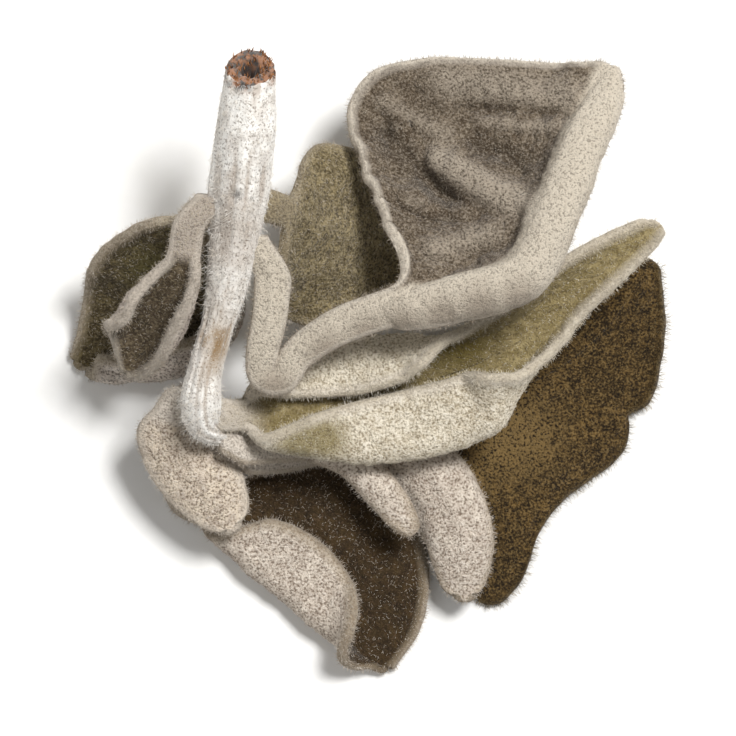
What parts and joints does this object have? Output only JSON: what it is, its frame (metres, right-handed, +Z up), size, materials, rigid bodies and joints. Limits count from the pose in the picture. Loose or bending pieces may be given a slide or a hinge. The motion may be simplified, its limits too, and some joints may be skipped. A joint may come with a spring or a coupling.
{
  "type": "dried herb sprig",
  "caption": "Cut sprig of dried sage lying on its side: a woolly stem with a cut end and pairs of felted, curled leaves.",
  "frame": {"origin": "on the table under the middle of the sprig's bounding box", "axes": "+Z up from the table, towards the picture's camera; +Y towards the picture's upper edge, the way the cut end points; +X towards the picture's right edge, where most leaves spread"},
  "size_m": [0.0334, 0.0344, 0.0133],
  "materials": {
    "woolly_stem": "matt, covered in short white wool, red-brown fibres at the cut end",
    "sage_leaf": "matt felt of short hairs: olive green upper side, pale grey-beige underside with raised veins"
  },
  "bodies": {
    "root": {"stem": "woolly_stem", "leaf_cupped": "sage_leaf", "leaf_pod": "sage_leaf", "leaf_drooping": "sage_leaf", "leaf_ridged": "sage_leaf", "leaf_boat": "sage_leaf", "leaf_small_hanging": "sage_leaf", "leaf_folded_over": "sage_leaf", "leaf_olive": "sage_leaf", "leaf_round_tipped": "sage_leaf", "leaf_narrow": "sage_leaf"}
  },
  "joints": []
}
